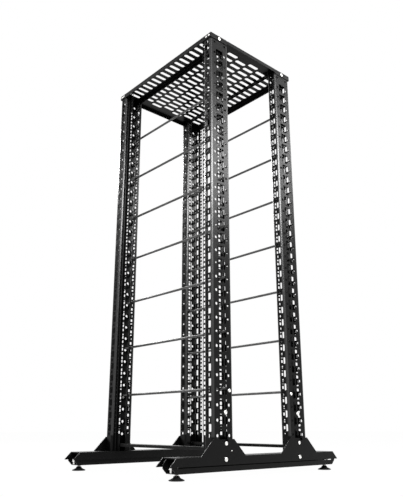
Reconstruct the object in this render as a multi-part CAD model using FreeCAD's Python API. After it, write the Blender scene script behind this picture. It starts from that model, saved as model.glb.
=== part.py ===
import FreeCAD, Part

import math
import os

from FreeCAD import Vector

# Four post open frame rack, in millimetres.
# X runs across the rack, Y from front to back, Z up; the origin is on the floor under its middle.

# Driving sizes
RACK_UNIT = 44.45
LEVELS = 32
FIRST_LEVEL = 118.8
POST_SPAN_X = 579.4
POST_SPAN_Y = 433.0
SHEET = 2.0
SEAT = 0.3

# Round sections that repeat are kept to a few sides
FEW_SIDES = 8
PAD_SIDES = 16

# Posts: bent channels that open towards the middle of the rack, with a mounting flange set back
# behind the outer lip and reaching into the opening
POST_WEB = 85.5
POST_FLANGE = 37.2
MOUNTING_SETBACK = 17.5
MOUNTING_MARGIN = 6.55
INNER_LIP = 25.5
BEND_RADIUS = 3.0
POST_TOP = 1526.7

# Holes of the posts: three square ones in each rack unit of the mounting flange, windows in the web
SQUARE_HOLE = 9.5
HOLE_SPAN_X = 465.1
HOLE_HEIGHTS = (6.35, 22.225, 38.1)
WEB_WINDOW_WIDTH = 34.0
WEB_WINDOW_HEIGHT = 36.0

# Rods that tie the left and right posts together, through square holes of the inner lips
ROD_DIAMETER = 8.5
ROD_INSET = 17.5
RODS = 7
FIRST_ROD_LEVEL = 3
LEVELS_PER_ROD = 4

# Top: two slotted channels over the posts, and a slotted panel between them
TOP_FLANGE = 18.0
TOP_CHANNEL_INNER_Y = 135.0
TOP_INNER_FLANGE_HALF = 250.0
PANEL_SIDE_FLANGE = 12.0
PANEL_CROSS_FLANGE = 15.0
SLOT_PITCH = 30.4
SLOT_WIDTH = 14.0
CHANNEL_SLOT_LENGTH = 47.0
CHANNEL_SLOT_Y = 176.0
PANEL_SLOT_LENGTH = 50.0
PANEL_ROW_PITCH = 57.5
SLOTS_ACROSS = 17

# Base: an upper rail with gussets round the posts, over a lower channel that carries the feet
BASE_SHEET = 3.0
RAIL_WIDTH = 64.0
RAIL_TOP = 61.0
RAIL_BOTTOM = 36.0
RAIL_HALF_LENGTH = 378.0
RAIL_CORNER = 23.0
GUSSET_TOP = 109.0
CHANNEL_WIDTH = 50.0
CHANNEL_BOTTOM = 18.0
CHANNEL_HALF_LENGTH = 366.0
CHANNEL_CORNER = 14.0

# Levelling feet
FOOT_INSET = 25.0
FOOT_Y = 334.6
PAD_RADIUS = 23.0
PAD_RIM = 2.5
PAD_HEIGHT = 9.0
COLLAR_RADIUS = 8.5
STUD_RADIUS = 6.0
STUD_TOP = 37.0

# Cross members between the feet of the posts
CROSS_TOP = 85.5
CROSS_LIP = 9.5
CROSS_TAB = 22.0

# Places worked out from the driving sizes
WEB_OUTER = POST_SPAN_X / 2
WEB_INNER = WEB_OUTER - SHEET
FRONT_FACE = POST_SPAN_Y / 2
INNER_FACE = FRONT_FACE - POST_WEB
FLANGE_EDGE = WEB_OUTER - POST_FLANGE
HOLE_LINE_X = HOLE_SPAN_X / 2
MOUNTING_EDGE = HOLE_LINE_X - MOUNTING_MARGIN
MOUNTING_FACE = FRONT_FACE - MOUNTING_SETBACK
ROD_LINE_Y = INNER_FACE + ROD_INSET
WEB_MIDDLE_Y = FRONT_FACE - POST_WEB / 2
TOP_FACE = POST_TOP + SEAT + SHEET
TOP_HALF_X = WEB_OUTER + SEAT + SHEET
TOP_HALF_Y = FRONT_FACE + SEAT + SHEET
RAIL_OUTER = WEB_OUTER + SEAT + BASE_SHEET
RAIL_INNER_X = RAIL_OUTER - RAIL_WIDTH
CHANNEL_INNER_X = RAIL_OUTER - CHANNEL_WIDTH
FOOT_X = RAIL_OUTER - FOOT_INSET
POST_BOTTOM = RAIL_TOP + SEAT


def box(x0, x1, y0, y1, z0, z1):
    return Part.makeBox(x1 - x0, y1 - y0, z1 - z0, Vector(x0, y0, z0))


def prism(points, along):
    """Straight solid on a closed outline, pushed along a vector."""
    wire = Part.makePolygon(points + [points[0]])
    return Part.Face(wire).extrude(along)


def ring(centre, across, up, radius, sides):
    """Corners of an even outline round a centre, in the plane of two directions."""
    points = []
    for index in range(sides):
        angle = math.tau * (index + 0.5) / sides
        points.append(centre + across * (radius * math.cos(angle)) + up * (radius * math.sin(angle)))
    return points


def bent_strip(points, thickness, inside_radius, height):
    """Sheet strip that follows a path seen from above, with round bends at its corners.

    The path is one side of the strip, and the sheet lies to the left of its direction.
    """
    near_radii = []
    far_radii = []
    for before, corner, after in zip(points, points[1:], points[2:]):
        turns_left = (corner - before).cross(after - corner).z > 0
        near_radii.append(inside_radius + (thickness if turns_left else 0))
        far_radii.append(inside_radius + (0 if turns_left else thickness))
    outer = fillet_path(points, near_radii)
    inner = fillet_path(offset_path(points, thickness), far_radii)
    start = Part.makeLine(points[0], inner.Vertexes[0].Point)
    end = Part.makeLine(points[-1], inner.Vertexes[-1].Point)
    outline = Part.Wire(Part.__sortEdges__(outer.Edges + inner.Edges + [start, end]))
    return Part.Face(outline).extrude(Vector(0, 0, height))


def offset_path(points, distance):
    """Same path, moved to its left by a distance."""
    directions = []
    for a, b in zip(points, points[1:]):
        directions.append((b - a).normalize())
    normals = [Vector(-d.y, d.x, 0) for d in directions]
    moved = [points[0] + normals[0] * distance]
    for corner, before, after in zip(points[1:-1], normals, normals[1:]):
        moved.append(corner + (before + after) * distance)
    moved.append(points[-1] + normals[-1] * distance)
    return moved


def fillet_path(points, radii):
    """Wire along square corners, each rounded to its own radius."""
    edges = []
    start = points[0]
    for before, corner, after, radius in zip(points, points[1:], points[2:], radii):
        back = (before - corner).normalize()
        ahead = (after - corner).normalize()
        arc_start = corner + back * radius
        arc_end = corner + ahead * radius
        centre = corner + (back + ahead) * radius
        middle = centre + (corner - centre).normalize() * radius
        edges.append(Part.makeLine(start, arc_start))
        edges.append(Part.Arc(arc_start, middle, arc_end).toShape())
        start = arc_end
    edges.append(Part.makeLine(start, points[-1]))
    return Part.Wire(edges)


def mirrored(shape, across_x, across_y):
    """Copy on the other side of the rack, left, rear or both."""
    if across_x:
        shape = shape.mirror(Vector(0, 0, 0), Vector(1, 0, 0))
    if across_y:
        shape = shape.mirror(Vector(0, 0, 0), Vector(0, 1, 0))
    return shape


def level_height(level):
    return FIRST_LEVEL + level * RACK_UNIT


def rod_height(index):
    return level_height(FIRST_ROD_LEVEL + index * LEVELS_PER_ROD) + HOLE_HEIGHTS[0]


def mounting_holes():
    """Square holes up the mounting flange, three in each rack unit."""
    half = SQUARE_HOLE / 2
    y0 = -MOUNTING_FACE - 1
    y1 = -MOUNTING_FACE + SHEET + 1
    tools = []
    for level in range(LEVELS):
        for height in HOLE_HEIGHTS:
            z = level_height(level) + height
            if z + half < POST_TOP - SHEET:
                tools.append(box(HOLE_LINE_X - half, HOLE_LINE_X + half, y0, y1, z - half, z + half))
    return tools


def rod_holes():
    """Square holes that the rods pass through, in the inner lip."""
    half = max(SQUARE_HOLE / 2, ROD_DIAMETER / 2 + SEAT)
    tools = []
    for index in range(RODS):
        z = rod_height(index)
        tools.append(box(FLANGE_EDGE - 1, FLANGE_EDGE + SHEET + 1,
                         -ROD_LINE_Y - half, -ROD_LINE_Y + half, z - half, z + half))
    return tools


def web_windows():
    """Tall windows that leave narrow bars between them up the middle of the web."""
    tools = []
    for level in range(LEVELS - 1):
        z = level_height(level)
        y0 = -WEB_MIDDLE_Y - WEB_WINDOW_WIDTH / 2
        y1 = -WEB_MIDDLE_Y + WEB_WINDOW_WIDTH / 2
        z0 = z - WEB_WINDOW_HEIGHT / 2
        z1 = z + WEB_WINDOW_HEIGHT / 2
        tools.append(box(WEB_INNER - 1, WEB_OUTER + 1, y0, y1, z0, z1))
    return tools


def front_right_post():
    """Channel with its web outwards, open towards the other side of the rack."""
    path = [
        Vector(MOUNTING_EDGE, -MOUNTING_FACE, POST_BOTTOM),
        Vector(FLANGE_EDGE, -MOUNTING_FACE, POST_BOTTOM),
        Vector(FLANGE_EDGE, -FRONT_FACE, POST_BOTTOM),
        Vector(WEB_OUTER, -FRONT_FACE, POST_BOTTOM),
        Vector(WEB_OUTER, -INNER_FACE, POST_BOTTOM),
        Vector(FLANGE_EDGE, -INNER_FACE, POST_BOTTOM),
        Vector(FLANGE_EDGE, -INNER_FACE - INNER_LIP, POST_BOTTOM),
    ]
    post = bent_strip(path, SHEET, BEND_RADIUS, POST_TOP - POST_BOTTOM)
    return post.cut(Part.makeCompound(mounting_holes() + rod_holes() + web_windows()))


def rod(y, z):
    """Rod from the inner side of one web to the other."""
    end = WEB_INNER - SEAT
    points = ring(Vector(-end, y, z), Vector(0, 1, 0), Vector(0, 0, 1), ROD_DIAMETER / 2, FEW_SIDES)
    return prism(points, Vector(2 * end, 0, 0))


def slot(x, y, length):
    """Tool for one slot along Y, its ends kept square."""
    z = TOP_FACE - SHEET
    return box(x - SLOT_WIDTH / 2, x + SLOT_WIDTH / 2, y - length / 2, y + length / 2, z - 1, z + SHEET + 1)


def slot_row(y, length, staggered):
    """Row of slots across the rack; a staggered row has one slot less and sits half a pitch over."""
    count = SLOTS_ACROSS - 1 if staggered else SLOTS_ACROSS
    first = -(count - 1) / 2 * SLOT_PITCH
    return [slot(first + index * SLOT_PITCH, y, length) for index in range(count)]


def top_front_channel():
    """Slotted plate over the front posts, with its flanges turned down round them."""
    under = TOP_FACE - SHEET
    low = under - TOP_FLANGE
    outer = -TOP_HALF_Y
    inner = -TOP_CHANNEL_INNER_Y
    plate = box(-TOP_HALF_X, TOP_HALF_X, outer, inner, under, TOP_FACE)
    front = box(-TOP_HALF_X, TOP_HALF_X, outer, outer + SHEET, low, under)
    back = box(-TOP_INNER_FLANGE_HALF, TOP_INNER_FLANGE_HALF, inner - SHEET, inner, low, under)
    left = box(-TOP_HALF_X, -TOP_HALF_X + SHEET, outer, inner, low, under)
    right = box(TOP_HALF_X - SHEET, TOP_HALF_X, outer, inner, low, under)
    channel = plate.fuse([front, back, left, right]).removeSplitter()
    slots = slot_row(-CHANNEL_SLOT_Y, CHANNEL_SLOT_LENGTH, False)
    return channel.cut(Part.makeCompound(slots))


def top_centre_panel():
    """Slotted panel between the two top channels, with a shallow flange down each side."""
    under = TOP_FACE - SHEET
    edge = TOP_CHANNEL_INNER_Y - SEAT
    side_low = under - PANEL_SIDE_FLANGE
    cross_low = under - PANEL_CROSS_FLANGE
    plate = box(-TOP_HALF_X, TOP_HALF_X, -edge, edge, under, TOP_FACE)
    flanges = []
    for side in (-1, 1):
        x0, x1 = sorted((side * TOP_HALF_X, side * (TOP_HALF_X - SHEET)))
        y0, y1 = sorted((side * edge, side * (edge - SHEET)))
        flanges.append(box(x0, x1, -edge, edge, side_low, under))
        flanges.append(box(-TOP_INNER_FLANGE_HALF, TOP_INNER_FLANGE_HALF, y0, y1, cross_low, under))
    panel = plate.fuse(flanges).removeSplitter()
    slots = []
    for row in range(-2, 3):
        slots += slot_row(row * PANEL_ROW_PITCH, PANEL_SLOT_LENGTH, row % 2 == 0)
    return panel.cut(Part.makeCompound(slots))


def right_base_rail():
    """Channel turned down along the side, whose outer wall rises in a gusset at each post."""
    cut = RAIL_HALF_LENGTH - RAIL_CORNER
    rise = GUSSET_TOP - RAIL_TOP
    x0 = RAIL_OUTER - BASE_SHEET
    profile = [(-cut, RAIL_TOP)]
    for side in (-1, 1):
        stretch = [
            (side * (FRONT_FACE + rise), RAIL_TOP),
            (side * FRONT_FACE, GUSSET_TOP),
            (side * INNER_FACE, GUSSET_TOP),
            (side * (INNER_FACE - rise), RAIL_TOP),
        ]
        profile += stretch if side < 0 else stretch[::-1]
    profile += [
        (cut, RAIL_TOP),
        (RAIL_HALF_LENGTH, RAIL_TOP - RAIL_CORNER),
        (RAIL_HALF_LENGTH, RAIL_BOTTOM),
        (-RAIL_HALF_LENGTH, RAIL_BOTTOM),
        (-RAIL_HALF_LENGTH, RAIL_TOP - RAIL_CORNER),
    ]
    outer = prism([Vector(x0, y, z) for y, z in profile], Vector(BASE_SHEET, 0, 0))
    plain = [(-cut, RAIL_TOP), (cut, RAIL_TOP)] + profile[-4:]
    inner = prism([Vector(RAIL_INNER_X, y, z) for y, z in plain], Vector(BASE_SHEET, 0, 0))
    top = box(RAIL_INNER_X, x0, -cut, cut, RAIL_TOP - BASE_SHEET, RAIL_TOP)
    notches = []
    for side in (-1, 1):
        middle = side * WEB_MIDDLE_Y
        y0 = middle - WEB_WINDOW_WIDTH / 2
        y1 = middle + WEB_WINDOW_WIDTH / 2
        z0 = level_height(0) - WEB_WINDOW_HEIGHT / 2
        notches.append(box(x0 - 1, RAIL_OUTER + 1, y0, y1, z0, GUSSET_TOP + 1))
    return outer.fuse([top, inner]).removeSplitter().cut(Part.makeCompound(notches))


def right_base_channel():
    """Channel turned up under the rail, its walls inside the rail and its floor on the feet."""
    outer = RAIL_OUTER - BASE_SHEET - SEAT
    top = RAIL_TOP - BASE_SHEET - SEAT
    end = CHANNEL_HALF_LENGTH
    cut = end - CHANNEL_CORNER
    rail_slope = RAIL_HALF_LENGTH - RAIL_CORNER
    wall = [
        (-rail_slope + 2, top),
        (rail_slope - 2, top),
        (end, RAIL_BOTTOM + 6),
        (end, CHANNEL_BOTTOM + CHANNEL_CORNER),
        (cut, CHANNEL_BOTTOM),
        (-cut, CHANNEL_BOTTOM),
        (-end, CHANNEL_BOTTOM + CHANNEL_CORNER),
        (-end, RAIL_BOTTOM + 6),
    ]
    walls = []
    for x in (CHANNEL_INNER_X, outer - BASE_SHEET):
        walls.append(prism([Vector(x, y, z) for y, z in wall], Vector(BASE_SHEET, 0, 0)))
    floor = box(CHANNEL_INNER_X, outer, -cut, cut, CHANNEL_BOTTOM, CHANNEL_BOTTOM + BASE_SHEET)
    holes = []
    for side in (-1, 1):
        holes.append(foot_column(side * FOOT_Y, STUD_RADIUS + SEAT, CHANNEL_BOTTOM - 1, RAIL_BOTTOM))
    return floor.fuse(walls).removeSplitter().cut(Part.makeCompound(holes))


def foot_column(y, radius, z0, z1):
    """Upright column on the axis of a right foot, or the tool for its hole."""
    points = ring(Vector(FOOT_X, y, z0), Vector(1, 0, 0), Vector(0, 1, 0), radius, FEW_SIDES)
    return prism(points, Vector(0, 0, z1 - z0))


def pad_ring(y, radius, z):
    return ring(Vector(FOOT_X, y, z), Vector(1, 0, 0), Vector(0, 1, 0), radius, PAD_SIDES)


def front_right_foot():
    """Levelling foot: sloped pad, collar under the channel floor and a stud up through it."""
    y = -FOOT_Y
    rim = pad_ring(y, PAD_RADIUS, PAD_RIM)
    neck = pad_ring(y, COLLAR_RADIUS + 2, PAD_HEIGHT)
    faces = [Part.Face(Part.makePolygon(outline + outline[:1])) for outline in (rim, neck)]
    for index in range(PAD_SIDES):
        after = (index + 1) % PAD_SIDES
        corners = [rim[index], rim[after], neck[after], neck[index], rim[index]]
        faces.append(Part.Face(Part.makePolygon(corners)))
    slope = Part.makeSolid(Part.makeShell(faces))
    pad = prism(pad_ring(y, PAD_RADIUS, 0), Vector(0, 0, PAD_RIM))
    collar = foot_column(y, COLLAR_RADIUS, PAD_HEIGHT, CHANNEL_BOTTOM - SEAT)
    stud = foot_column(y, STUD_RADIUS, CHANNEL_BOTTOM - SEAT, STUD_TOP)
    return pad.fuse([slope, collar, stud]).removeSplitter()


def front_cross_member():
    """Shallow channel across the rack, behind the mounting flanges, with end tabs against the webs."""
    y0 = -MOUNTING_FACE + SHEET + SEAT
    y1 = -INNER_FACE - INNER_LIP - SEAT
    end = WEB_INNER - SEAT
    under = CROSS_TOP - SHEET
    plate = box(-end, end, y0, y1, under, CROSS_TOP)
    front = box(-end, end, y0, y0 + SHEET, CROSS_TOP - CROSS_LIP, under)
    back = box(-end, end, y1 - SHEET, y1, CROSS_TOP - CROSS_LIP, under)
    left = box(-end, -end + SHEET, y0, y1, CROSS_TOP, CROSS_TOP + CROSS_TAB)
    right = box(end - SHEET, end, y0, y1, CROSS_TOP, CROSS_TOP + CROSS_TAB)
    return plate.fuse([front, back, left, right]).removeSplitter()


def build():
    nodes = {}
    sides = (("right", False), ("left", True))
    ends = (("front", False), ("rear", True))
    post = front_right_post()
    rail = right_base_rail()
    channel = right_base_channel()
    corner_foot = front_right_foot()
    for side, across_x in sides:
        nodes[side + "_base_rail"] = mirrored(rail, across_x, False)
        nodes[side + "_base_channel"] = mirrored(channel, across_x, False)
        for end, across_y in ends:
            nodes[end + "_" + side + "_post"] = mirrored(post, across_x, across_y)
            nodes[end + "_" + side + "_foot"] = mirrored(corner_foot, across_x, across_y)
    top_channel = top_front_channel()
    cross_member = front_cross_member()
    for end, across_y in ends:
        nodes["top_" + end + "_channel"] = mirrored(top_channel, False, across_y)
        nodes[end + "_cross_member"] = mirrored(cross_member, False, across_y)
        y = ROD_LINE_Y if across_y else -ROD_LINE_Y
        for index in range(RODS):
            nodes[end + "_rod_" + str(index + 1)] = rod(y, rod_height(index))
    nodes["top_centre_panel"] = top_centre_panel()
    return nodes


os.makedirs("parts", exist_ok=True)
for name, shape in build().items():
    shape.exportStep("parts/" + name + ".step")
    print(name, len(shape.Solids), shape.isValid())
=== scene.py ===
import math

import bmesh
import bpy
from mathutils import Matrix, Vector


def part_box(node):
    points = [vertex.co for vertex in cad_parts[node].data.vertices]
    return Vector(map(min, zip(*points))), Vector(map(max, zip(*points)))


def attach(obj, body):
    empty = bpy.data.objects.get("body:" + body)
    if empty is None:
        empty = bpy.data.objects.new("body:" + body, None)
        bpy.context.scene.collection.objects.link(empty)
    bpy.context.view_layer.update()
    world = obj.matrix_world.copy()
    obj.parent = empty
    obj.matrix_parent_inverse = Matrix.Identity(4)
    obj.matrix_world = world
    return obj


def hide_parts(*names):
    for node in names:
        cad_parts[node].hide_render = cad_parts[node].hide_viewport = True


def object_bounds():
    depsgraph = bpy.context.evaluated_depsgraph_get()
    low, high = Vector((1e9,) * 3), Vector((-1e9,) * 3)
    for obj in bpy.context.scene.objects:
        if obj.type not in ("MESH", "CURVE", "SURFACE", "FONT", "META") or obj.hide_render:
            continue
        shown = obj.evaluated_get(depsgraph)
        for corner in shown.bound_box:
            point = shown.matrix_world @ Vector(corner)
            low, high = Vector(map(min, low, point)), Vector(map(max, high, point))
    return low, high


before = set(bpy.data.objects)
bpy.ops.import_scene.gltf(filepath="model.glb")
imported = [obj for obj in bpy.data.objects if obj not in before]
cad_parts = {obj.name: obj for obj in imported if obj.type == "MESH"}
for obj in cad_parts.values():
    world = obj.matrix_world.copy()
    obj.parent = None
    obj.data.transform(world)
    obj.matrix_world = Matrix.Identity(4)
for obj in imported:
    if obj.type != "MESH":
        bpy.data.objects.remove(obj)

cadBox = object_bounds()
scene = bpy.context.scene
rackUnit = 0.04445
tiny = 1e-6
corners = {"front_right": (False, False), "front_left": (True, False),   # reflected across x, across y
           "rear_right": (False, True), "rear_left": (True, True)}
print("frame loaded:", len(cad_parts), "nodes")


class Socket:   # one output of a shader node, so that maths on it reads as an expression
    def __init__(self, maker, link):
        self.maker = maker
        self.link = link

    def maths(self, operation, first, second=0.0):
        return self.maker.node("ShaderNodeMath", {"operation": operation}, {0: first, 1: second})

    def __add__(self, other):
        return self.maths("ADD", self, other)

    def __radd__(self, other):
        return self.maths("ADD", other, self)

    def __sub__(self, other):
        return self.maths("SUBTRACT", self, other)

    def __rsub__(self, other):
        return self.maths("SUBTRACT", other, self)

    def __mul__(self, other):
        return self.maths("MULTIPLY", self, other)

    def __rmul__(self, other):
        return self.maths("MULTIPLY", other, self)

    def either(self, other):
        return self.maths("MAXIMUM", self, other)

    def size(self):
        return self.maths("ABSOLUTE", self)

    def step(self, low, high):   # 0 below low, 1 above high, eased between
        return self.maker.node("ShaderNodeMapRange", {"interpolation_type": "SMOOTHSTEP", "clamp": True},
                               {"Value": self, "From Min": low, "From Max": high})


class Maker:   # writes nodes into one tree
    def __init__(self, tree):
        self.tree = tree

    def node(self, kind, settings, values, out=0):
        made = self.tree.nodes.new(kind)
        for key, value in settings.items():
            setattr(made, key, value)
        for key, value in values.items():
            self.feed(made.inputs[key], value)
        return Socket(self, made.outputs[out])

    def feed(self, socket, value):
        if isinstance(value, Socket):
            self.tree.links.new(value.link, socket)
        else:
            socket.default_value = value

    def place(self):
        return self.node("ShaderNodeTexCoord", {}, {}, "Object")

    def parts(self, vector):
        split = self.node("ShaderNodeSeparateXYZ", {}, {0: vector})
        return [Socket(self, output) for output in split.link.node.outputs]

    def stretched(self, vector, scale):
        return self.node("ShaderNodeMapping", {}, {"Vector": vector, "Scale": scale})

    def noise(self, vector, scale, detail=3.0, roughness=0.55):
        return self.node("ShaderNodeTexNoise", {}, {"Vector": vector, "Scale": scale, "Detail": detail,
                                                    "Roughness": roughness})

    def blend(self, share, first, second):
        return self.node("ShaderNodeMix", {"data_type": "RGBA"}, {0: share, 6: first, 7: second}, 2)

    def bump(self, height, strength, distance):
        return self.node("ShaderNodeBump", {}, {"Height": height, "Strength": strength, "Distance": distance})

    def ray(self, kind):
        return self.node("ShaderNodeLightPath", {}, {}, kind)


class Finish(Maker):   # the nodes of one material
    def __init__(self, name):
        self.material = bpy.data.materials.new(name)
        self.material.use_nodes = True
        super().__init__(self.material.node_tree)
        self.shader = self.tree.nodes["Principled BSDF"]

    def shade(self, **values):
        for key, value in values.items():
            self.feed(self.shader.inputs[key], value)
        return self.material


def grey(value, warm=0.0):
    return (value * (1 + warm), value, value * (1 - warm), 1.0)


coat = {"colour": 0.0010, "cloud": 0.0008, "dust": 0.007, "rub": 0.05, "rough": 0.27, "specular": 0.12,
        "peel": 1500, "peelDepth": 0.00006, "bendGloss": 0.95,
        "outerBend": (0.2825, 0.2835), "innerBend": (0.2585, 0.2595),   # |x| of the posts' bends, from and to
        "farBend": (0.2090, 0.2100), "nearBend": (0.1375, 0.1385),   # the same for |y|
        "bendFoot": (0.112, 0.118), "bendHead": (1.500, 1.508), "scuffedBase": (0.02, 0.075)}


def blackPowderCoat():
    m = Finish("blackPowderCoat")
    where = m.place()
    x, y, z = m.parts(where)
    cloud = m.noise(where, 9, 4)
    fine = m.noise(where, coat["peel"], 2)
    scuff = m.noise(m.stretched(where, (60, 60, 14)), 3.0, 5, 0.7)
    outside = x.size().step(*coat["outerBend"]) + (1 - x.size().step(*coat["innerBend"]))
    across = y.size().step(*coat["farBend"]) + (1 - y.size().step(*coat["nearBend"]))
    corner = outside * across * z.step(*coat["bendFoot"]) * (1 - z.step(*coat["bendHead"]))
    low = 1 - z.step(*coat["scuffedBase"])
    rubbed = scuff.step(0.62, 0.76) * (corner * 0.7 + low * 0.4)
    dust = m.noise(where, 38, 6, 0.65).step(0.55, 0.85) * 0.5
    base = m.blend(cloud, grey(coat["colour"]), grey(coat["colour"] + coat["cloud"]))
    dusty = m.blend(dust * 0.35, base, grey(coat["dust"], 0.03))
    worn = m.blend(rubbed, dusty, grey(coat["rub"]))
    return m.shade(**{
        "Base Color": worn,
        "Roughness": coat["rough"] + cloud * 0.06 + dust * 0.10 - rubbed * 0.05,
        "Specular IOR Level": coat["specular"],
        "Coat Weight": corner * coat["bendGloss"],
        "Coat Roughness": 0.22,
        "Normal": m.bump(fine, 0.35, coat["peelDepth"])})


brushed = {"dark": 0.075, "light": 0.125, "stain": 0.05, "grain": (4, 260, 260), "grainDepth": 0.00008,
           "metal": 0.85, "rough": 0.34}


def brushedRod():
    m = Finish("brushedRod")
    where = m.place()
    grain = m.noise(m.stretched(where, brushed["grain"]), 6.0, 4)
    patch = m.noise(where, 22, 4)
    tone = m.blend(grain, grey(brushed["dark"]), grey(brushed["light"]))
    stained = m.blend(patch.step(0.5, 0.8) * 0.5, tone, grey(brushed["stain"], 0.04))
    return m.shade(**{
        "Base Color": stained,
        "Metallic": brushed["metal"],
        "Roughness": brushed["rough"] + patch * 0.14 + grain * 0.06,
        "Normal": m.bump(grain, 0.3, brushed["grainDepth"])})


plating = {"dark": (0.72, 0.72, 0.71, 1), "light": (0.90, 0.89, 0.86, 1), "dull": 0.55, "metal": 0.9,
           "rough": 0.26, "spangle": 420, "spangleDepth": 0.00005}


def brightZinc():
    m = Finish("brightZinc")
    where = m.place()
    spangle = m.noise(where, plating["spangle"], 4)
    patch = m.noise(where, 90, 3)
    tone = m.blend(spangle, plating["dark"], plating["light"])
    dull = m.blend(patch.step(0.55, 0.8) * 0.5, tone, grey(plating["dull"], 0.02))
    return m.shade(**{
        "Base Color": dull,
        "Metallic": plating["metal"],
        "Roughness": plating["rough"] + patch * 0.16,
        "Normal": m.bump(spangle, 0.25, plating["spangleDepth"])})


rubberPad = {"dark": 0.003, "light": 0.006, "dust": 0.04, "dustHeight": (0.0005, 0.0035), "specular": 0.14,
             "rough": 0.5, "grain": 900, "grainDepth": 0.0001}


def footRubber():
    m = Finish("footRubber")
    where = m.place()
    height = m.parts(where)[2]
    grain = m.noise(where, rubberPad["grain"], 3)
    patch = m.noise(where, 45, 4)
    tread = 1 - height.step(*rubberPad["dustHeight"])
    base = m.blend(patch, grey(rubberPad["dark"]), grey(rubberPad["light"]))
    dusty = m.blend(tread * patch.step(0.4, 0.7) * 0.5, base, grey(rubberPad["dust"], 0.04))
    return m.shade(**{
        "Base Color": dusty,
        "Specular IOR Level": rubberPad["specular"],
        "Roughness": rubberPad["rough"] + patch * 0.15,
        "Normal": m.bump(grain, 0.3, rubberPad["grainDepth"])})


black = blackPowderCoat()
rodFinish = brushedRod()
zinc = brightZinc()
rubber = footRubber()
for name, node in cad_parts.items():
    for slot in node.material_slots:
        slot.material = rodFinish if "_rod_" in name else rubber if name.endswith("_foot") else black
print("finishes made")


def finished(bm, name, material, replaced=()):
    bm.normal_update()
    for face in bm.faces:   # flat where it faces along an axis, smooth round bends and rims
        face.smooth = max(abs(part) for part in face.normal) < 0.999
    for edge in bm.edges:
        edge.smooth = (len(edge.link_faces) == 2 and all(face.smooth for face in edge.link_faces)
                       and edge.calc_face_angle() < math.radians(35))
    mesh = bpy.data.meshes.new(name)
    bm.to_mesh(mesh)
    bm.free()
    piece = bpy.data.objects.new(name, mesh)
    scene.collection.objects.link(piece)
    mesh.materials.append(material)
    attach(piece, "root")
    for node in replaced:
        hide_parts(node)
    return piece


def shortName(corner):   # front_right as frontRight
    end, hand = corner.split("_")
    return end + hand.title()


def block(bm, low, high):
    verts = bmesh.ops.create_cube(bm, size=1)["verts"]
    low, high = Vector(low), Vector(high)
    bmesh.ops.scale(bm, vec=high - low, verts=verts)
    bmesh.ops.translate(bm, vec=(low + high) / 2, verts=verts)
    return verts


def eased(bm, edges, width, segments=1, clamp=False):
    bmesh.ops.bevel(bm, geom=edges, offset=width, offset_type="OFFSET", segments=segments, profile=0.5,
                    affect="EDGES", material=-1, clamp_overlap=clamp)


def punch(bm, axis, centre, size, corner, segments=3):   # a block with rounded edges along one axis
    half = Vector(size) / 2
    verts = block(bm, Vector(centre) - half, Vector(centre) + half)
    edges = {edge for vert in verts for edge in vert.link_edges}
    along = [edge for edge in edges
             if abs((edge.verts[0].co - edge.verts[1].co).normalized()[axis]) > 0.9]
    narrowest = min(size[part] for part in range(3) if part != axis)
    eased(bm, along, min(corner, 0.4995 * sorted(size)[1], 0.4995 * narrowest), segments, True)


def upright(bm, radius, depth, sides, top=None):   # a round bar at the origin; returns its points
    return bmesh.ops.create_cone(bm, cap_ends=True, segments=sides, radius1=radius,
                                 radius2=radius if top is None else top, depth=depth)["verts"]


def laidOver(bm, verts, place):   # turned from z to x and put in place
    bmesh.ops.rotate(bm, matrix=Matrix.Rotation(math.pi / 2, 3, "Y"), verts=verts)
    bmesh.ops.translate(bm, vec=place, verts=verts)


def cutBy(sheet, punches):   # sheet less punches, both used up
    pair = []
    for bm in (sheet, punches):
        mesh = bpy.data.meshes.new("cutting")
        bmesh.ops.recalc_face_normals(bm, faces=bm.faces)
        bm.to_mesh(mesh)
        bm.free()
        thing = bpy.data.objects.new("cutting", mesh)
        scene.collection.objects.link(thing)
        pair.append(thing)
    cutting = pair[0].modifiers.new("holes", "BOOLEAN")
    cutting.operation = "DIFFERENCE"
    cutting.solver = "MANIFOLD"
    cutting.object = pair[1]
    result = bmesh.new()
    result.from_object(pair[0], bpy.context.evaluated_depsgraph_get())
    for thing in pair:
        mesh = thing.data
        bpy.data.objects.remove(thing)
        bpy.data.meshes.remove(mesh)
    return result


def foldedSheet(path, radii, along, thickness):   # a bent strip drawn out along a vector, its sheet inwards
    bm = bmesh.new()
    verts = [bm.verts.new(point) for point in path]
    for first, second in zip(verts, verts[1:]):
        bm.edges.new((first, second))
    drawn = bmesh.ops.extrude_edge_only(bm, edges=bm.edges[:])["geom"]
    bmesh.ops.translate(bm, vec=along, verts=[item for item in drawn if isinstance(item, bmesh.types.BMVert)])
    for point, radius in zip(path[1:-1], radii):
        middle = Vector(point) + Vector(along) / 2
        fold = min(bm.edges, key=lambda edge: ((edge.verts[0].co + edge.verts[1].co) / 2 - middle).length)
        eased(bm, [fold], radius, 7)
    bmesh.ops.recalc_face_normals(bm, faces=bm.faces)
    first, second = Vector(path[0]), Vector(path[1])
    side = (second - first).cross(Vector(along)).normalized()   # the path's right side looks outwards
    centre = (first + second + Vector(along)) / 2
    start = min(bm.faces, key=lambda face: (face.calc_center_median() - centre).length)
    if start.normal.dot(side) < 0:
        bmesh.ops.reverse_faces(bm, faces=bm.faces)
    bmesh.ops.solidify(bm, geom=bm.faces[:], thickness=thickness)
    bmesh.ops.recalc_face_normals(bm, faces=bm.faces)
    return bm


def reflected(bm, acrossX, acrossY):
    copy = bm.copy()
    bmesh.ops.scale(copy, vec=(-1 if acrossX else 1, -1 if acrossY else 1, 1), verts=copy.verts)
    bmesh.ops.recalc_face_normals(copy, faces=copy.faces)
    return copy


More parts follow.
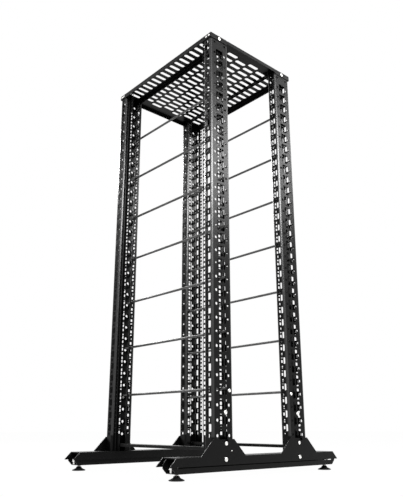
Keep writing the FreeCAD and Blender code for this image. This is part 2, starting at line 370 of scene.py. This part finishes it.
post = {"sheet": 0.002, "flange": 0.0372, "bend": 0.0068, "nose": 0.0070, "tuck": 0.003, "step": 0.0175,
        "lip": 0.0255, "edge": 0.0013, "firstLevel": 0.1188, "levels": 32, "smallHole": 0.010,
        "window": (0.024, 0.022), "webWindow": (0.034, 0.036), "holeLine": 0.271, "mountHole": 0.0095,
        "mountLine": 0.2331, "mountHeights": (0.00635, 0.022225, 0.0381), "innerLine": 0.1485,
        "roundHole": 0.0095, "roundLines": (0.148, 0.197), "dot": 0.005, "dotLine": 0.2046, "through": 0.008,
        "headroom": 0.002, "smallCorner": 0.001, "windowCorner": 0.0025, "webCorner": 0.003,
        "mountCorner": 0.0008}
fullyRound = 0.1   # a corner larger than any hole, which rounds it right off


def dimple(bm, centre, radius, depth):   # a blind cone sunk into a lip that faces -x
    verts = upright(bm, radius * 1.5, depth * 1.5, 8, radius * 0.25)
    laidOver(bm, verts, Vector(centre) + Vector((depth * 0.25, 0, 0)))


def frontRightPost():
    low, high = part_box("front_right_post")
    flange = high.x - post["flange"]
    mount = low.y + post["step"]
    path = [(low.x + post["edge"], mount, low.z), (flange, mount, low.z), (flange, low.y, low.z),
            (high.x, low.y, low.z), (high.x, high.y, low.z), (flange, high.y, low.z),
            (flange, high.y - post["lip"], low.z)]
    radii = [post["tuck"], post["nose"], post["bend"], post["bend"], post["nose"]]
    sheet = foldedSheet(path, radii, Vector((0, 0, high.z - low.z)), post["sheet"])
    bm = bmesh.new()
    webMiddle = (low.y + high.y) / 2
    small, hole, ring, through = post["smallHole"], post["mountHole"], post["roundHole"], post["through"]
    for level in range(post["levels"]):
        z = post["firstLevel"] + level * rackUnit
        half = z + rackUnit / 2
        for y in (low.y, high.y):
            punch(bm, 1, (post["holeLine"], y, z), (small, through, small), post["smallCorner"], 2)
            if level < post["levels"] - 1:
                punch(bm, 1, (post["holeLine"], y, half), (post["window"][0], through, post["window"][1]),
                      post["windowCorner"])
        if level < post["levels"] - 1:
            punch(bm, 0, (high.x, webMiddle, z), (through, *post["webWindow"]), post["webCorner"])
        for y in post["roundLines"]:
            punch(bm, 0, (high.x, -y, z), (through, ring, ring), fullyRound, 4)
        for height in post["mountHeights"]:
            if z + height + hole / 2 < high.z - post["headroom"]:
                punch(bm, 1, (post["mountLine"], mount, z + height), (hole, through, hole),
                      post["mountCorner"], 2)
                punch(bm, 0, (flange, -post["innerLine"], z + height), (through, hole, hole),
                      post["mountCorner"], 2)
                dimple(bm, (flange, -post["dotLine"], z + height), post["dot"] / 2, post["sheet"] * 0.8)
    return cutBy(sheet, bm)


rightPost = frontRightPost()
for corner, (acrossX, acrossY) in corners.items():
    finished(reflected(rightPost, acrossX, acrossY), shortName(corner) + "PostSheet", black,
             [corner + "_post"])
rightPost.free()
print("posts made")


top = {"sheet": 0.002, "bend": 0.0035, "pitch": 0.0304, "across": 17, "slotWidth": 0.0148,
       "channelSlot": 0.048, "channelRow": 0.176, "panelSlot": 0.0505, "rowPitch": 0.0575, "innerHalf": 0.250,
       "beyond": 0.31, "bite": 0.004, "ledge": 0.0036, "gap": 0.0002, "under": 0.0021, "panelLift": 0.003,
       "through": 0.012, "below": 0.01, "sideCorner": 0.0015}


def slotRow(bm, y, z, length, staggered):
    count = top["across"] - (1 if staggered else 0)
    for index in range(count):
        x = (index - (count - 1) / 2) * top["pitch"]
        punch(bm, 2, (x, y, z), (top["slotWidth"], length, top["through"]), fullyRound, 8)


def topSheet(low, high):   # a sheet with its front and rear edges turned down
    path = [(low.x, low.y, low.z), (low.x, low.y, high.z), (low.x, high.y, high.z), (low.x, high.y, low.z)]
    return foldedSheet(path, [top["bend"]] * 2, Vector((high.x - low.x, 0, 0)), -top["sheet"])


def clearOfPosts(bm, lines, low, high):   # the flanges at these y lines stop between the posts
    for side in (-1, 1):
        x0, x1 = sorted((side * top["innerHalf"], side * top["beyond"]))
        for y in lines:
            block(bm, (x0, y - top["bite"], low.z - top["below"]),
                  (x1, y + top["bite"], high.z - top["ledge"]))


def sideFlanges(bm, low, high, y0, y1, z0):
    z1 = high.z - top["under"]
    for x in (low.x + top["sheet"] / 2, high.x - top["sheet"] / 2):
        punch(bm, 0, (x, (y0 + y1) / 2, (z0 + z1) / 2), (top["sheet"], y1 - y0, z1 - z0),
              top["sideCorner"], 2)


def topFrontChannel():
    low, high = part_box("top_front_channel")
    bm = bmesh.new()
    slotRow(bm, -top["channelRow"], high.z, top["channelSlot"], False)
    clearOfPosts(bm, [high.y], low, high)
    cut = cutBy(topSheet(low, high), bm)
    sideFlanges(cut, low, high, low.y + top["sheet"] + top["gap"], high.y - top["gap"], low.z)
    return cut


def topCentrePanel():
    low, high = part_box("top_centre_panel")
    bm = bmesh.new()
    for row in range(-2, 3):
        slotRow(bm, row * top["rowPitch"], high.z, top["panelSlot"], row % 2 == 0)
    clearOfPosts(bm, [low.y, high.y], low, high)
    cut = cutBy(topSheet(low, high), bm)
    sideFlanges(cut, low, high, low.y + top["gap"], high.y - top["gap"], low.z + top["panelLift"])
    return cut


channel = topFrontChannel()
finished(reflected(channel, False, False), "topFrontSheet", black, ["top_front_channel"])
finished(reflected(channel, False, True), "topRearSheet", black, ["top_rear_channel"])
channel.free()
finished(topCentrePanel(), "topCentreSheet", black, ["top_centre_panel"])
print("top made")


base = {"edge": 0.0001, "clear": 0.0004, "sunk": 0.0014, "wall": 0.0045, "jointHalf": 0.350,
        "joint": (0.0332, 0.0358),
        "screws": [(-0.1648, 0.0513, 0.0064), (-0.1636, 0.0963, 0.0060), (-0.1415, 0.0754, 0.0022),
                   (0.1760, 0.0480, 0.0062), (0.1760, 0.0930, 0.0058)]}   # y, z, radius on a rail's side


def softened(node, width, punches=None):   # a copy of a frame node with its sharp edges eased
    bm = bmesh.new()
    bm.from_mesh(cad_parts[node].data)
    bmesh.ops.remove_doubles(bm, verts=bm.verts, dist=tiny)
    bmesh.ops.dissolve_limit(bm, angle_limit=math.radians(1), verts=bm.verts, edges=bm.edges)
    if punches:
        bm = cutBy(bm, punches)
    sharp = [edge for edge in bm.edges
             if len(edge.link_faces) == 2 and edge.calc_face_angle() > math.radians(25)]
    eased(bm, sharp, width, 2, True)
    return bm


def screwSeats(outer):
    bm = bmesh.new()
    for y, z, radius in base["screws"]:
        laidOver(bm, upright(bm, radius + base["clear"], base["sunk"] * 2, 24), (outer, y, z))
    return bm


for side, hand in ((1, "right"), (-1, "left")):
    finished(softened(hand + "_base_rail", base["edge"], screwSeats(side * cadBox[1][0])), hand + "Rail",
             black, [hand + "_base_rail"])
    low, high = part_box(hand + "_base_channel")
    outer = high.x if side > 0 else low.x
    joint = bmesh.new()   # the shadow gap where the channel slips into the rail
    block(joint, (outer - base["wall"], -base["jointHalf"], base["joint"][0]),
          (outer + base["wall"], base["jointHalf"], base["joint"][1]))
    finished(softened(hand + "_base_channel", base["edge"], joint), hand + "Channel", black,
             [hand + "_base_channel"])
for end in ("front", "rear"):
    finished(softened(end + "_cross_member", base["edge"]), end + "CrossPiece", black,
             [end + "_cross_member"])
print("base made")


rod = {"radius": 0.00425, "sides": 20, "chamfer": 0.0006}


def levelEdges(edges):
    return [edge for edge in edges if abs(edge.verts[0].co.z - edge.verts[1].co.z) < tiny]


def turnedRod(node):
    low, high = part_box(node)
    bm = bmesh.new()
    upright(bm, rod["radius"], high.x - low.x, rod["sides"])
    eased(bm, levelEdges(bm.edges), rod["chamfer"])
    laidOver(bm, bm.verts, (low + high) / 2)
    return bm


for node in sorted(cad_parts):
    if "_rod_" in node:
        end, _, number = node.split("_")
        finished(turnedRod(node), end + "TieRod" + number, rodFinish, [node])
print("rods made")


foot = {"segments": 40, "pad": 0.023, "stud": 0.006, "studFoot": 0.0127, "thread": 0.0015,
        "threadDeep": 0.0006, "nut": 0.0095, "nutSeat": 0.0216, "nutHeight": 0.008, "lockNut": 0.0072,
        "lockNutLine": 0.3545, "nutEdge": 0.0012, "lockNutSpan": (0.0292, 0.0335),
        # outlines: radius and z, but for the rim, whose first numbers go in from the pad's edge
        "boltEnd": [(0, 0.0212), (0.0036, 0.0212), (0.0036, 0.0340), (0.0030, 0.0346), (0, 0.0346)],
        "rim": [(0.0012, 0), (0.0003, 0.0004), (0, 0.0013), (0.0004, 0.0023), (0.002, 0.0031)],
        "cone": [(0.0150, 0.0058), (0.0115, 0.0074), (0.0096, 0.0092), (0.0090, 0.0116), (0.0082, 0.0126),
                 (0, 0.0126)]}


def lathe(bm, outline, x, y, segments):   # a closed shape turned round an upright axis
    verts = [bm.verts.new((x + radius, y, z)) for radius, z in outline]
    edges = [bm.edges.new(pair) for pair in zip(verts, verts[1:])]
    bmesh.ops.spin(bm, geom=verts + edges, cent=(x, y, 0), axis=(0, 0, 1), dvec=(0, 0, 0), angle=math.tau,
                   steps=segments, use_merge=True, use_duplicate=False)
    bmesh.ops.remove_doubles(bm, verts=bm.verts, dist=tiny)
    bmesh.ops.recalc_face_normals(bm, faces=bm.faces)


def hexNut(bm, x, y, z0, z1, radius):
    verts = upright(bm, radius, z1 - z0, 6)
    eased(bm, levelEdges({edge for vert in verts for edge in vert.link_edges}), foot["nutEdge"], 2)
    fresh = [vert for vert in bm.verts if abs(vert.co.x) < 0.05 and abs(vert.co.y) < 0.05]
    bmesh.ops.translate(bm, vec=(x, y, (z0 + z1) / 2), verts=fresh)


def footMiddle(node):
    low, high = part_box(node)
    return (low.x + high.x) / 2, (low.y + high.y) / 2


def footPad(node):
    x, y = footMiddle(node)
    outline = [(0, 0)] + [(foot["pad"] - inset, z) for inset, z in foot["rim"]] + foot["cone"]
    bm = bmesh.new()
    lathe(bm, outline, x, y, foot["segments"])
    return bm


def footStud(node):
    x, y = footMiddle(node)
    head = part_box(node)[1].z
    bm = bmesh.new()
    hexNut(bm, x, y, foot["nutSeat"], foot["nutSeat"] + foot["nutHeight"], foot["nut"])
    end = math.copysign(foot["lockNutLine"], y)   # the lock nut just inside the channel's end
    hexNut(bm, x, end, *foot["lockNutSpan"], foot["lockNut"])
    lathe(bm, foot["boltEnd"], x, end, 20)
    outline = [(0, foot["studFoot"])]
    z = foot["studFoot"] + 0.0001
    while z + foot["thread"] < head - 0.001:
        outline += [(foot["stud"] - foot["threadDeep"], z), (foot["stud"], z + foot["thread"] / 2)]
        z += foot["thread"]
    outline += [(foot["stud"] - 0.0008, head - 0.0006), (foot["stud"] - 0.0016, head), (0, head)]
    lathe(bm, outline, x, y, 24)
    return bm


for corner in corners:
    finished(footPad(corner + "_foot"), shortName(corner) + "Pad", rubber, [corner + "_foot"])
    finished(footStud(corner + "_foot"), shortName(corner) + "Stud", zinc)
print("feet made")


bolt = {"sides": 22, "socketDeep": 0.0012, "rimWidth": 0.18, "head": 0.0066, "height": 0.0026,
        "postLevel": 0.1862, "postLineFront": -0.1640, "postLineRear": -0.1765,   # y before reflection
        "rodScrew": 0.0056, "rodScrewHeight": 0.0022, "rodScrewLine": -0.1465, "rodScrewDrop": 0.001,
        "rodScrewUnit": 3, "topScrew": 0.0045, "topScrewHeight": 0.0022, "topScrewPlaces": (0.2830, 0.2690),
        "topLevel": 1.5180, "sideLine": -0.1740, "sideHeight": 0.0010}


def buttonHead(bm, centre, direction, radius, height):
    made = bmesh.new()
    upright(made, radius, height, bolt["sides"])
    topEdges = [edge for edge in made.edges if edge.verts[0].co.z > 0 and edge.verts[1].co.z > 0]
    eased(made, topEdges, min(height * 0.6, radius * 0.35), 3)
    crown = max(made.faces, key=lambda face: (round(face.calc_center_median().z, 6), face.calc_area()))
    bmesh.ops.inset_region(made, faces=[crown], thickness=max(radius * bolt["rimWidth"], 0.0004))
    for face in bmesh.ops.extrude_discrete_faces(made, faces=[crown])["faces"]:
        bmesh.ops.translate(made, vec=(0, 0, -min(bolt["socketDeep"], height * 0.5)), verts=face.verts)
    turn = Vector((0, 0, 1)).rotation_difference(Vector(direction)).to_matrix()
    bmesh.ops.rotate(made, matrix=turn, verts=made.verts)
    bmesh.ops.translate(made, vec=Vector(centre) + Vector(direction) * height / 2, verts=made.verts)
    mesh = bpy.data.meshes.new("head")
    made.to_mesh(mesh)
    made.free()
    bm.from_mesh(mesh)
    bpy.data.meshes.remove(mesh)


def cornerBolts(corner):
    acrossX, acrossY = corners[corner]
    sx, sy = (-1 if acrossX else 1), (-1 if acrossY else 1)
    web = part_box("front_right_post")[1].x
    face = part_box("top_front_channel")[0].y
    rodLevel = post["firstLevel"] + bolt["rodScrewUnit"] * rackUnit - bolt["rodScrewDrop"]
    bm = bmesh.new()
    y = bolt["postLineRear"] if acrossY else bolt["postLineFront"]
    buttonHead(bm, (sx * web, sy * y, bolt["postLevel"]), (sx, 0, 0), bolt["head"], bolt["height"])
    buttonHead(bm, (sx * web, sy * bolt["rodScrewLine"], rodLevel), (sx, 0, 0), bolt["rodScrew"],
               bolt["rodScrewHeight"])
    for x in bolt["topScrewPlaces"]:
        buttonHead(bm, (sx * x, sy * face, bolt["topLevel"]), (0, -sy, 0), bolt["topScrew"],
                   bolt["topScrewHeight"])
    buttonHead(bm, (sx * (cadBox[1][0] - bolt["sideHeight"]), sy * bolt["sideLine"], bolt["topLevel"]),
               (sx, 0, 0), bolt["head"], bolt["sideHeight"])
    return bm


for corner in corners:
    finished(cornerBolts(corner), shortName(corner) + "Bolts", zinc)
for side, hand in ((1, "right"), (-1, "left")):
    bm = bmesh.new()
    for y, z, radius in base["screws"]:
        buttonHead(bm, (side * (cadBox[1][0] - base["sunk"]), y, z), (side, 0, 0), radius,
                   base["sunk"] - 0.0001)
    finished(bm, hand + "RailScrews", zinc)
print("bolts made")


studio = {"floor": 14.0, "ambient": 0.25, "floorGlow": 0.985, "floorTone": (0.86, 0.90),
          # each lamp: place, target, size, watts
          "lamps": {"keyLight": ((3.67, 2.12, 3.02), (0, 0, 1.1), (3.1, 0.8), 205),
                    "frontLight": ((4.0, -1.45, 2.75), (0, 0, 1.1), (3.4, 0.7), 230),
                    "fillLight": ((0.2, -4.4, 2.4), (0, 0, 0.8), (1.2, 1.2), 30),
                    "backLight": ((-3.6, 0.4, 2.8), (0, 0, 0.8), (2.4, 0.5), 110)},
          "lens": 41.689, "camera": (1.60606, -1.42123, 0.14579), "cameraTurn": (107.1604, 0.0201, 48.6068)}


def paleFloor():
    m = Finish("paleFloor")
    cloud = m.noise(m.place(), 1.3, 3)
    dark, light = studio["floorTone"]
    m.shade(**{"Base Color": m.blend(cloud, grey(dark), grey(light)), "Roughness": 0.7 + cloud * 0.1})
    seen = m.ray("Is Camera Ray").either(m.ray("Is Glossy Ray"))
    glow = m.node("ShaderNodeEmission", {}, {"Color": (1, 1, 1, 1), "Strength": 1.0})
    surface = Socket(m, m.shader.outputs[0])
    both = m.node("ShaderNodeMixShader", {}, {0: seen * studio["floorGlow"], 1: surface, 2: glow})
    m.feed(m.tree.nodes["Material Output"].inputs["Surface"], both)
    return m.material


bm = bmesh.new()
bmesh.ops.create_grid(bm, x_segments=1, y_segments=1, size=studio["floor"])
mesh = bpy.data.meshes.new("studioFloor")
bm.to_mesh(mesh)
bm.free()
floor = bpy.data.objects.new("studioFloor", mesh)
scene.collection.objects.link(floor)
mesh.materials.append(paleFloor())

world = bpy.data.worlds.new("studioWorld")
scene.world = world
world.use_nodes = True
sky = Maker(world.node_tree)
white = sky.ray("Is Camera Ray").either(sky.ray("Is Transmission Ray")).either(sky.ray("Is Glossy Ray"))
backdrop = sky.tree.nodes["Background"]
sky.feed(backdrop.inputs["Color"], (1, 1, 1, 1))
sky.feed(backdrop.inputs["Strength"], white * (1 - studio["ambient"]) + studio["ambient"])

for name, (place, target, size, watts) in studio["lamps"].items():
    data = bpy.data.lights.new(name, "AREA")
    data.shape = "RECTANGLE"
    data.size, data.size_y = size
    data.energy = watts
    lamp = bpy.data.objects.new(name, data)
    lamp.location = place
    lamp.rotation_euler = (Vector(target) - Vector(place)).to_track_quat("-Z", "Y").to_euler()
    scene.collection.objects.link(lamp)

cameraData = bpy.data.cameras.new("camera")
cameraData.sensor_width = 36
cameraData.lens = studio["lens"]
cameraData.clip_end = 50
camera = bpy.data.objects.new("camera", cameraData)
camera.location = studio["camera"]
camera.rotation_euler = tuple(math.radians(angle) for angle in studio["cameraTurn"])
scene.collection.objects.link(camera)
scene.camera = camera
scene.view_settings.view_transform = "Standard"
print("studio made")
